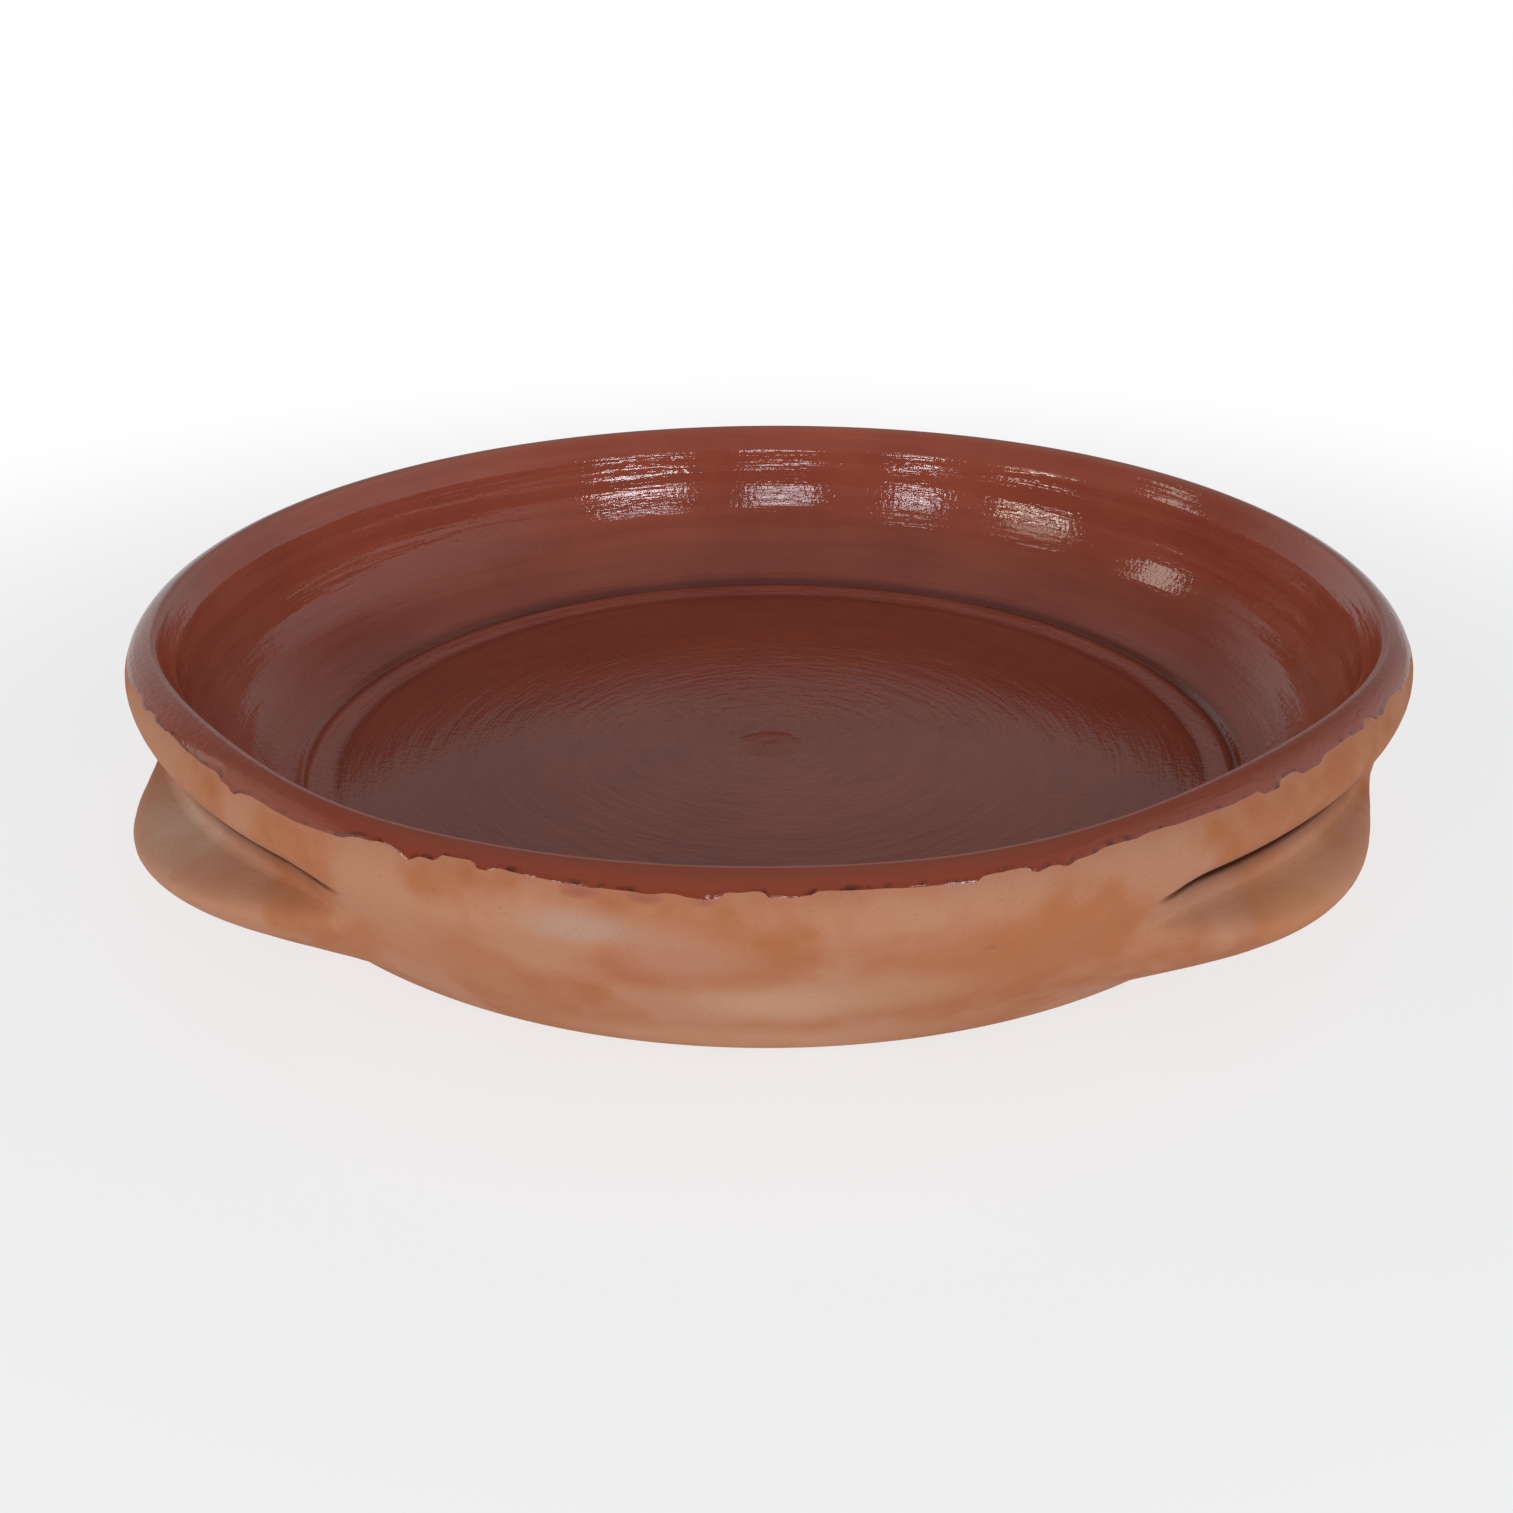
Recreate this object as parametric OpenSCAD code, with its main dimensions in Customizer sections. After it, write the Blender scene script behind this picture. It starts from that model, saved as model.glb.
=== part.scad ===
// Round terracotta baking dish, thrown in one piece, with four lugs pulled from its wall.
// Millimetres, +Z up. The origin is the centre of the flat underside, on the throwing axis.

/* [Bowl] */
// Diameter over the rim, at its widest
rim_d = 360; // [260:1:440]
// Height from the underside to the crest of the rim
dish_h = 63; // [58:1:74]
// How far the wall flares out, from the edge of the flat underside to the rim
flare = 38.5; // [36:0.5:55]
// Thickness of the clay at the floor
floor_t = 9.5; // [7:0.5:13]

/* [Outer wall] */
// Radius of the rounded edge between underside and wall
foot_r = 14; // [8:1:17]
// Lean of the wall from upright just below the rim
shoulder_lean = 24; // [14:1:28]
// Radius of the curve that turns the wall upright at the rim
shoulder_r = 24; // [16:1:34]

/* [Rim] */
// Radius of the rounded outer edge of the rim
rim_r = 9.5; // [8:0.5:11]
// Radius of the crest of the rim
crest_r = 1.8; // [1.2:0.1:3]
// Angle up the rounded outer edge at which the rim turns over its crest
crest_turn = 75; // [66:1:80]
// Height of the bevel between the crest and the inner wall
bevel_h = 7; // [5:0.5:9]
// Lean of that bevel from upright
bevel_lean = 31; // [24:1:36]

/* [Inner wall] */
// Lean of the inner wall from upright under the rim
inner_lean = 7; // [3:1:12]
// Slope of the cove from level where it meets the thrown step
cove_slope = 18; // [12:1:24]

/* [Thrown step round the floor] */
// How far the floor's edge lies inside the edge of the underside
floor_inset = 12; // [9:0.5:16]
// Width of the step between the floor and the groove
step_w = 7; // [4:0.5:9]
// Slope of the step from level
step_slope = 16; // [8:1:20]
// Width of the groove
groove_w = 4; // [2.5:0.5:6]
// Depth of the groove
groove_depth = 1.1; // [0.5:0.1:2]
// Diameter of the button left at the middle of the floor
button_d = 19; // [12:1:30]
// Height of that button
button_h = 0.7; // [0.3:0.1:1.5]

/* [Lugs] */
// Angle of each lug from the dish's long line, which runs left and right
lug_angle = 42.5; // [32:0.5:58]
// Arc of the wall that a lug covers, in degrees
lug_arc = 48; // [36:1:52]
// Reach of a lug past the rim
lug_reach = 9; // [3:0.5:16]
// Depth of the lug's edge below the crest of the rim
lug_drop = 33; // [30:0.5:38]
// Height of the lug's underside, from its edge down to where it leaves the wall
lug_belly = 22; // [14:0.5:23]

/* [Finger press above each lug] */
// Radius of the press, about that of a thumb
press_r = 12; // [8:0.5:14]
// Depth of the press into the wall
press_depth = 7; // [4:0.5:7.5]
// Depth of the middle of the press below the crest of the rim
press_drop = 12; // [9:0.5:14]

/* [Hidden] */

clay = "#B5744F";
arc_step = 5;
lug_rows = 20;
lug_points = 12;
lug_sink = 2.5;
lug_root = 5.5;
roll_clear = 0.2;
crease_share = 0.9;
$fn = 180;

// A run of points round an arc, from one angle to another
function arc_points(centre, radius, from, to) =
    let (steps = max(2, ceil(abs(to - from) / arc_step)))
    [for (i = [0 : steps])
        let (a = from + (to - from) * i / steps)
        centre + radius * [cos(a), sin(a)]];

// Outer wall: the foot, wall and shoulder arcs are each tangent to the next, which sets the wall's radius
outer_r = rim_d / 2;
base_r = outer_r - flare;
crest_reach = rim_r - crest_r;
rim_z = dish_h - crest_r - crest_reach * sin(crest_turn);
shoulder_dir = [cos(shoulder_lean), -sin(shoulder_lean)];
shoulder_centre = [outer_r - shoulder_r, rim_z];
shoulder_end = shoulder_centre + shoulder_r * shoulder_dir;
foot_centre = [base_r, foot_r];
foot_to_shoulder = shoulder_end - foot_centre;
wall_r = (foot_to_shoulder * foot_to_shoulder - foot_r * foot_r)
    / (2 * (foot_to_shoulder * shoulder_dir - foot_r));
wall_centre = shoulder_end - wall_r * shoulder_dir;
foot_dir = (foot_centre - wall_centre) / norm(foot_centre - wall_centre);
foot_angle = atan2(foot_dir.y, foot_dir.x);
foot_end = wall_centre + wall_r * foot_dir;

// Radius of the outer wall at a height
function circle_x(centre, radius, z) = centre.x + sqrt(max(0, radius * radius - pow(z - centre.y, 2)));
function wall_x(z) =
    z >= rim_z ? outer_r
    : z >= shoulder_end.y ? circle_x(shoulder_centre, shoulder_r, z)
    : z >= foot_end.y ? circle_x(wall_centre, wall_r, z)
    : circle_x(foot_centre, foot_r, z);

// Rim: rounded outer edge, small crest, then a bevel down to the inner wall
rim_centre = [outer_r - rim_r, rim_z];
crest_centre = rim_centre + crest_reach * [cos(crest_turn), sin(crest_turn)];
bevel_top = crest_centre + crest_r * [-cos(bevel_lean), sin(bevel_lean)];
bevel_foot = bevel_top - bevel_h * [tan(bevel_lean), 1];

// Floor, step and groove, each starting where the last one ends
floor_edge = [base_r - floor_inset, floor_t];
step_top = floor_edge + step_w * [cos(step_slope), sin(step_slope)];
groove_low = step_top + [groove_w / 2, -groove_depth];
cove_foot = step_top + groove_w * [1, tan(cove_slope)];

// Cove: the arc that leaves the groove at its slope and ends tangent to the inner wall
cove_r = (bevel_foot - cove_foot) * [cos(inner_lean), -sin(inner_lean)] / (1 - sin(cove_slope + inner_lean));
cove_centre = cove_foot + cove_r * [-sin(cove_slope), cos(cove_slope)];

// Button: the cap of a sphere
button_sphere_r = (pow(button_d / 2, 2) + pow(button_h, 2)) / (2 * button_h);
button_centre = [0, floor_t + button_h - button_sphere_r];
button_half = asin(button_d / 2 / button_sphere_r);

bowl_section = concat(
    [[0, 0]],
    arc_points(foot_centre, foot_r, -90, foot_angle - 1),
    arc_points(wall_centre, wall_r, foot_angle, -shoulder_lean - 1),
    arc_points(shoulder_centre, shoulder_r, -shoulder_lean, 0),
    arc_points(rim_centre, rim_r, arc_step, crest_turn),
    arc_points(crest_centre, crest_r, crest_turn + arc_step, 180 - bevel_lean),
    [bevel_foot],
    arc_points(cove_centre, cove_r, -inner_lean, cove_slope - 90),
    [groove_low, step_top, floor_edge],
    arc_points(button_centre, button_sphere_r, 90 - button_half, 90)
);

module bowl() {
    rotate_extrude()
        polygon(bowl_section);
}

// The press starts in the crease under the rim's roll
crease_z = rim_z - crease_share * rim_r;
lug_edge_z = dish_h - lug_drop;
lug_low_z = lug_edge_z - lug_belly;

// Swell of a lug over its height: full at its edge, nothing where it leaves the wall
function lug_swell(z) =
    z > lug_edge_z
        ? pow(1 - pow((z - lug_edge_z) / (crease_z - lug_edge_z), 2), 2)
        : 1 - pow((lug_edge_z - z) / lug_belly, 2);

// Swell of a lug along the wall: full at its middle, nothing at its ends
function lug_span(a) = pow(cos(180 * a / lug_arc), 2);

lug_height = outer_r + lug_reach - wall_x(lug_edge_z);
function lug_x(a, z) = wall_x(z) - lug_sink + (lug_height + lug_sink) * lug_span(a) * lug_swell(z);

// Heights of a lug's rings, closest together at its top and bottom
function lug_z(i) = lug_low_z + (crease_z - lug_low_z) * (1 + cos(180 * i / lug_points)) / 2;

// One section of the lug: down its face, then back up inside the wall
function lug_ring(a) =
    let (
        face = [for (i = [0 : lug_points]) [lug_x(a, lug_z(i)), lug_z(i)]],
        root = [for (i = [lug_points : -1 : 0]) [wall_x(lug_z(i)) - lug_root, lug_z(i)]]
    )
    [for (p = concat(face, root)) [p.x * cos(a), p.x * sin(a), p.y]];

module lug() {
    ring = 2 * (lug_points + 1);
    points = [for (i = [0 : lug_rows], p = lug_ring(lug_arc * (i / lug_rows - 0.5))) p];
    sides = [for (i = [0 : lug_rows - 1], j = [0 : ring - 1])
        let (k = (j + 1) % ring)
        [i * ring + j, (i + 1) * ring + j, (i + 1) * ring + k, i * ring + k]];
    ends = [for (j = [0 : lug_points - 1], end = [0, 1])
        let (
            first = end * lug_rows * ring,
            rung = [ring - 2 - j, ring - 1 - j, j, j + 1]
        )
        [for (k = [0 : 3]) first + rung[end == 0 ? k : 3 - k]]];
    polyhedron(points, concat(sides, ends), convexity = 4);
}

// The roll of the rim, which a press follows and leaves whole
module rim_roll() {
    rotate_extrude()
        translate(rim_centre)
            circle(r = rim_r + roll_clear, $fn = 48);
}

// The press is straight, so it is deepest at the lug's middle and runs out at both ends
press_z = dish_h - press_drop;
press_x = wall_x(crease_z) - press_depth + sqrt(press_r * press_r - pow(press_z - crease_z, 2));
press_len = 2 * outer_r * sin(lug_arc / 2);
module finger_press() {
    difference() {
        translate([press_x, 0, press_z])
            rotate([90, 0, 0])
                cylinder(r = press_r, h = press_len, center = true, $fn = 64);
        rim_roll();
    }
}

module at_lugs() {
    for (side = [0, 180], turn = [-lug_angle, lug_angle])
        rotate([0, 0, side + turn])
            children();
}

module dish() {
    color(clay)
        difference() {
            union() {
                bowl();
                at_lugs() lug();
            }
            at_lugs() finger_press();
        }
}

dish();
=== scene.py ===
"""Looks of a round, hand-thrown terracotta baking dish, glazed inside and bare outside.

The dish is one closed surface: a section of radius and height for every azimuth of a polar grid.
The form functions work in millimetres, like the dish's maker. The mesh is written in metres, +Z up.
"""
import math

import bpy
import numpy as np
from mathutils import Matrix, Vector


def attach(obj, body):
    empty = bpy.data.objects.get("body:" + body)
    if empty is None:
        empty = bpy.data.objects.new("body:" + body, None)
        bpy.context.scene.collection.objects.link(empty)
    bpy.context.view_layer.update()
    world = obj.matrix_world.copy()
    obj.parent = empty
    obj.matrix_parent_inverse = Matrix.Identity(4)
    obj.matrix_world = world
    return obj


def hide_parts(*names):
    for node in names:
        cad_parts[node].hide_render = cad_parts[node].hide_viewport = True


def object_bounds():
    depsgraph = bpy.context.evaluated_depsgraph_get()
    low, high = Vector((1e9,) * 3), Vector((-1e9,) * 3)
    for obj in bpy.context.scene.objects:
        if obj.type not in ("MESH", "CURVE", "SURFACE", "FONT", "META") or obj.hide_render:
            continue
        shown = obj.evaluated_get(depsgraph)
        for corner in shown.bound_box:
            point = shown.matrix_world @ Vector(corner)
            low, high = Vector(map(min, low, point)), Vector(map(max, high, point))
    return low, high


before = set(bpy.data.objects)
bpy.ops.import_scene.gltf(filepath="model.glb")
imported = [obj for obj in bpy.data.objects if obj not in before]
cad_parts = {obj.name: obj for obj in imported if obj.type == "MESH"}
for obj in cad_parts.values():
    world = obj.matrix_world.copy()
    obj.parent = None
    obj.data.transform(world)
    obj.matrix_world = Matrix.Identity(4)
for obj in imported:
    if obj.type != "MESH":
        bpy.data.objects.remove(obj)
cad_low, cad_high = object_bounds()

MM = 0.001

# Sizes of the bowl in millimetres. The outside ones come from the frame, and the section follows the part,
# but for a shallower groove
RIM_RADIUS = min(cad_high.x - cad_low.x, cad_high.y - cad_low.y) / 2 / MM
HEIGHT = (cad_high.z - cad_low.z) / MM
FLARE = 38.5
FLOOR_T = 9.5
FOOT_R = 14.0
SHOULDER_LEAN = math.radians(24)
SHOULDER_R = 24.0
RIM_R = 9.5
CREST_R = 1.8
CREST_TURN = math.radians(75)
BEVEL_H = 7.0
BEVEL_LEAN = math.radians(31)
INNER_LEAN = math.radians(7)
COVE_SLOPE = math.radians(18)
FLOOR_INSET = 12.0
STEP_W = 7.0
STEP_SLOPE = math.radians(16)
GROOVE_W = 4.0
GROOVE_DEPTH = 0.8
BUTTON_R = 9.5
BUTTON_H = 0.7

# The grid: columns round the dish, and how many of them lie from one point of a ring to the next on the
# underside and floor, on the walls, by the lugs, and at the glaze's ragged end
COLUMNS = 1440
EVERY_FLAT, EVERY_WALL, EVERY_LUG, EVERY_END = 8, 4, 2, 1
azimuth = 2 * np.pi * np.arange(COLUMNS) / COLUMNS

# The lugs: azimuth in degrees, half arc on the clockwise and on the other side, swell, heights of the edge
# and the top, fullness of the upper face, then the press: half arc on the clockwise and on the other side
LUG_SHAPES = (
    (-42.5, 20.5, 21.0, 15.4, 27.5, 37.8, 2.8, 16.5, 33.0),
    (42.5, 23.0, 23.0, 15.5, 28.0, 40.0, 3.0, 20.0, 18.0),
    (137.5, 23.0, 23.0, 16.0, 28.0, 40.0, 3.0, 18.0, 20.0),
    (-137.5, 20.0, 21.5, 18.0, 29.5, 38.0, 3.2, 31.0, 20.0),
)
# Height of a lug's underside, and the power of its cosine round the dish
LUG_BELLY = 16.5
LUG_BLUNTNESS = 1.3
# Heights between which the rows lie closest, for the lugs' edges
EDGE_ROWS_LOW = 24.0
EDGE_ROWS_HIGH = 35.0

# A press: how far in it goes, how much further on its longer side, the height where it starts, the power
# of its face, and the share of its arc over which it runs out
PRESS_IN = 4.4
PRESS_FAR = 1.2
PRESS_LOW = 33.0
PRESS_POWER = 0.9
PRESS_FADE = 0.42

# The crease that a press leaves: its angle down the rim's roll, the points of the slit that runs in from it
# under the roll, and the half height over which shade is painted into the clay there
CREASE_TURN = math.radians(64)
SLIT = np.array([[-2.6, -2.7], [-5.5, -3.0], [-8.0, -2.4], [-7.8, -1.4], [-5.4, -0.9]])
CREASE_SHADE_HALF = 3.5

# Where the maker's thumb pushed the rim in above a lug: azimuth and half arc in degrees, push. The push
# starts at a height and is full at the crest
THUMB_PUSHES = (
    (-43.0, 34.0, 6.5),
    (-138.0, 25.0, 3.4),
)
PUSH_FROM = 37.0

# The rim out of true: how far it dips everywhere, at the back, and by waves, and the shares of its radius
# by which it draws in as an oval and as a rounded triangle
DIP_ALL = 0.06
DIP_BACK = 0.9
DIP_WAVE = 0.15
DRAW_OVAL = 0.0006
DRAW_TRIANGLE = 0.0005

# The glaze: where it ends on the rim's roll, as an angle above the rim's widest line, its thickness, and
# the length over which it reaches that
GLAZE_END = math.radians(31)
GLAZE_T = 0.10
GLAZE_RISE = 0.3
# Its ragged end: slow swings, teeth on calm stretches and what rough ones add, nicks, and runs
END_SWING = 0.35
TEETH_CALM = 0.12
TEETH_ROUGH = 0.62
END_NICK = 0.10
END_RUN = 1.0
# Where it ends higher up: azimuth and half arc in degrees, millimetres up the roll
GLAZE_HIGH = (
    (-107.0, 13.0, 2.1),
    (-86.0, 12.0, 0.8),
    (-62.0, 16.0, 1.9),
)
# Millimetres past the glaze's end, as its attribute has them: low on the bare wall, at the bare wall's top,
# and on the inside. Faces are glazed past the first limit, and points lie on the inside past the second
BARE_LOW = -9.0
BARE_TOP = -4.0
GLAZED_INSIDE = 20.0
GLAZED_PAST = -0.13
INSIDE_PAST = 10.0

# Thrown ridges on the inner wall, and the finer ones between them as a share of their spacing and rise
RIDGE_SPACING = 9.0
RIDGE_RISE = 0.10
FINER_SPACING = 0.43
FINER_RISE = 0.3

# Where the groove runs out: azimuth and half arc in degrees, and how far it is filled there
WORN_AZIMUTH = 192.0
WORN_HALF = 70.0
WORN_FILL = 0.55

# The thrown floor: the spacing and rise of the spiral and of the fine lines, the rises of two slow swells,
# and the depth of the ring round the button
SPIRAL_SPACING = 7.5
SPIRAL_RISE = 0.022
LINE_SPACING = 3.1
LINE_RISE = 0.008
SWELL_ROUND = 0.06
SWELL_OUT = 0.05
MOAT_DEPTH = 0.20

# Relief of the glaze's skin and of the bare clay, too fine for the mesh: lines along the turning, and an
# even peel or grain
GLAZE_LINES = 0.25
GLAZE_PEEL = 0.105
CLAY_LINES = 0.12
CLAY_GRAIN = 0.10


def waves(angle, count_low, count_high, fall, seed):
    """Even noise round the dish: a sum of cosines of whole wave counts, with seeded phases.
    Each wave's height falls with its count to the given power, and the sum is scaled to unit spread."""
    draw = np.random.default_rng(seed)
    counts = np.arange(count_low, count_high + 1)
    heights = draw.normal(size=counts.size) * (counts / count_low) ** -fall
    phases = draw.uniform(0, 2 * np.pi, counts.size)
    total = (heights[:, None] * np.cos(counts[:, None] * angle[None, :] + phases[:, None])).sum(axis=0)
    return total / np.sqrt((heights ** 2).sum() / 2)


def smooth(x):
    """Smooth step: 0 below 0, 1 above 1, and 3x² - 2x³ between."""
    x = np.clip(x, 0, 1)
    return x * x * (3 - 2 * x)


def bell(x, middle, half):
    """Bell curve: 1 at its middle, and e to the minus square of the distance in half widths."""
    return np.exp(-(((x - middle) / half) ** 2))


def degrees_from(angle, centre):
    """Degrees round the dish from a centre in degrees to an angle, wrapped to -180 to 180."""
    return (np.degrees(angle) - centre + 180) % 360 - 180


def groove_wear(angle):
    """How far the groove has run out: 1 at the middle of the worn stretch, a smooth step down to 0."""
    return smooth(1 - np.abs(degrees_from(angle, WORN_AZIMUTH)) / WORN_HALF)


# The outside of the bowl: foot, wall and shoulder arcs, each tangent to the next
RIM_Z = HEIGHT - CREST_R - (RIM_R - CREST_R) * math.sin(CREST_TURN)
rim_centre = np.array([RIM_RADIUS - RIM_R, RIM_Z])
crest_centre = rim_centre + (RIM_R - CREST_R) * np.array([math.cos(CREST_TURN), math.sin(CREST_TURN)])
base_r = RIM_RADIUS - FLARE
shoulder_dir = np.array([math.cos(SHOULDER_LEAN), -math.sin(SHOULDER_LEAN)])
shoulder_centre = np.array([RIM_RADIUS - SHOULDER_R, RIM_Z])
shoulder_end = shoulder_centre + SHOULDER_R * shoulder_dir
foot_centre = np.array([base_r, FOOT_R])
reach = shoulder_end - foot_centre
wall_r = (reach @ reach - FOOT_R ** 2) / (2 * (reach @ shoulder_dir - FOOT_R))
wall_centre = shoulder_end - wall_r * shoulder_dir
foot_dir = (foot_centre - wall_centre) / np.linalg.norm(foot_centre - wall_centre)
foot_end = wall_centre + wall_r * foot_dir

# Radii inside: the floor's edge, and the middle of the groove
floor_edge_r = base_r - FLOOR_INSET
groove_r = floor_edge_r + STEP_W + GROOVE_W / 2


def outer_radius(z):
    """Radius of the plain wall at a height: the arc that holds there, foot, wall or shoulder."""
    def on_circle(centre, radius):
        return centre[0] + np.sqrt(np.maximum(0, radius ** 2 - (z - centre[1]) ** 2))
    return np.select(
        [z >= RIM_Z, z >= shoulder_end[1], z >= foot_end[1]],
        [RIM_RADIUS + 0 * z, on_circle(shoulder_centre, SHOULDER_R), on_circle(wall_centre, wall_r)],
        on_circle(foot_centre, FOOT_R),
    )


def lug_weight(centre, before, after):
    """Weight of a lug round the dish: a cosine to a power, with its own half arc on each side."""
    turn = degrees_from(azimuth, centre)
    part = np.where(turn < 0, -turn / before, turn / after)
    return np.where(part < 1, np.cos(np.pi / 2 * np.minimum(part, 1)) ** LUG_BLUNTNESS, 0)


def press_weight(centre, before, after):
    """Weight of a finger press: flat along its middle, and a smooth step down to nothing at each end.
    Also how far each place lies from the middle, from 0 to 1, on the side where the press is longer."""
    turn = degrees_from(azimuth, centre)
    part = np.where(turn < 0, -turn / before, turn / after)
    longer = turn > 0 if after > before else turn < 0
    return smooth((1 - part) / PRESS_FADE), smooth(part * 1.5) * longer


def lug_swell(z, edge, top, fullness):
    """Swell of a lug over the height: a full curve above its edge, up to its top, and a parabola below."""
    up = np.clip((z - edge) / (top - edge), 0, 1)
    return np.clip(np.where(z > edge, 1 - up ** fullness, 1 - ((edge - z) / LUG_BELLY) ** 2), 0, None)


def on_roll(turn):
    """Points on the rim's roll, by the angle below its widest line: radius and height."""
    return rim_centre[0] + RIM_R * np.cos(turn), rim_centre[1] - RIM_R * np.sin(turn)


def outside_rows():
    """Rows from the edge of the underside up to the rim's widest line, with lugs and presses.
    A row has a plain place on the wall, and a pressed one: up the face of the press, round a low slit
    that runs in under the roll, and back out along the roll itself. The press's weight mixes the two.
    Each place also gets how deep it lies in the crease, from 0 to 1, which sets the shade painted into the
    clay there, and each row its step of columns."""
    crease_r, crease = on_roll(CREASE_TURN)
    foot_turn = np.linspace(-np.pi / 2, math.atan2(foot_dir[1], foot_dir[0]), 7)
    z_foot = FOOT_R * (1 + np.sin(foot_turn))
    z_wall = np.linspace(z_foot[-1], EDGE_ROWS_LOW, 9)[1:]
    z_edge = np.linspace(EDGE_ROWS_LOW, EDGE_ROWS_HIGH, 11)[1:]
    z_face = np.linspace(EDGE_ROWS_HIGH, crease - 2.4, 10)[1:]
    z_slit = np.linspace(z_face[-1], crease - 0.9, len(SLIT) + 1)[1:]
    low_roll = np.radians([96, 86, 75])
    z_low_roll = crease + np.array([-0.7, -0.45, -0.2])
    high_roll = np.linspace(CREASE_TURN, 0, 9)
    z_high_roll = on_roll(high_roll)[1]
    z = np.concatenate([z_foot, z_wall, z_edge, z_face, z_slit, z_low_roll, z_high_roll])
    plain = outer_radius(z)
    slit_from = z_foot.size + z_wall.size + z_edge.size + z_face.size
    roll_from = slit_from + len(SLIT)

    taper = smooth((z - PRESS_LOW) / (crease - PRESS_LOW)) ** PRESS_POWER
    pressed_r = plain - PRESS_IN * taper
    pressed_z = z.copy()
    pressed_r[slit_from:roll_from] = crease_r + SLIT[:, 0]
    pressed_z[slit_from:roll_from] = crease + SLIT[:, 1]
    pressed_r[roll_from:], pressed_z[roll_from:] = on_roll(np.concatenate([low_roll, high_roll]))
    taper[slit_from:roll_from] = 1
    taper[roll_from:] = 0

    # How much painted shade each row gets under a press: a bell curve just below the crease
    shade_near_crease = bell(z, crease - 1, CREASE_SHADE_HALF)
    shade_near_crease[roll_from + len(low_roll):] = 0
    radius = np.repeat(plain[:, None], COLUMNS, axis=1)
    height = np.repeat(z[:, None], COLUMNS, axis=1)
    crease_shade = np.zeros_like(radius)
    for centre, before, after, swell, edge, top, fullness, press_before, press_after in LUG_SHAPES:
        radius += np.outer(lug_swell(z, edge, top, fullness) * swell, lug_weight(centre, before, after))
        press, far = press_weight(centre, press_before, press_after)
        radius += np.outer(pressed_r - plain, press) - np.outer(PRESS_FAR * taper, press * far)
        height += np.outer(pressed_z - z, press)
        crease_shade += np.outer(shade_near_crease, press)
    steps = np.where(z < EDGE_ROWS_LOW, EVERY_WALL, EVERY_LUG)
    return radius, height, crease_shade, steps


def glaze_end_angle():
    """Angle on the rim's roll where the glaze ends, for every azimuth. It swings slowly, and stretches with
    teeth and small runs, where the brush or the dip left off, lie between calm ones. On a few stretches it
    ends higher up, by a bell curve."""
    swings = waves(azimuth, 3, 15, 0.6, 5)
    rough = smooth(0.5 + 0.55 * waves(azimuth, 5, 26, 0.3, 17))
    teeth = np.tanh(2.5 * waves(azimuth, 30, 100, 0.4, 11))
    nicks = waves(azimuth, 120, 260, 0.3, 23)
    runs = np.clip(waves(azimuth, 30, 90, 0.3, 31) - 1.6, 0, None)
    end_mm = (END_SWING * swings + (TEETH_CALM + TEETH_ROUGH * rough) * teeth
              + END_NICK * rough * nicks - END_RUN * rough * runs)
    high_mm = sum(high * bell(degrees_from(azimuth, centre), 0, half) for centre, half, high in GLAZE_HIGH)
    return GLAZE_END + (end_mm + high_mm) / RIM_R


def rim_rows():
    """Rows from the rim's widest line over the ragged end of the glaze to the crest.
    Each row is an angle on the rim's roll and a rise of the glaze above the clay, which nears its full
    thickness exponentially and eases off before the crest."""
    end = glaze_end_angle()
    below = np.array([0.35, 0.65, 0.86])
    about_mm = np.array([-0.25, 0.0, 0.2, 0.5, 0.9, 1.4, 2.2])
    last = end + about_mm[-1] / RIM_R
    beyond = np.array([0.25, 0.5, 0.75, 1.0])
    turn = np.concatenate([
        below[:, None] * (end + about_mm[0] / RIM_R)[None, :],
        end[None, :] + about_mm[:, None] / RIM_R,
        last[None, :] + beyond[:, None] * (CREST_TURN - last)[None, :],
    ])
    glazed = (turn - end[None, :]) * RIM_R
    lift = GLAZE_T * (1 - np.exp(-np.maximum(glazed, 0) / GLAZE_RISE))
    ease = smooth((math.radians(70) - turn) / math.radians(25))
    radius = rim_centre[0] + (RIM_R + lift * ease) * np.cos(turn)
    height = rim_centre[1] + (RIM_R + lift * ease) * np.sin(turn)
    return radius, height, glazed


def arc(centre, radius, turns):
    """Points on an arc in the section's plane, for an array of angles."""
    return centre + radius * np.column_stack([np.cos(turns), np.sin(turns)])


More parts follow.
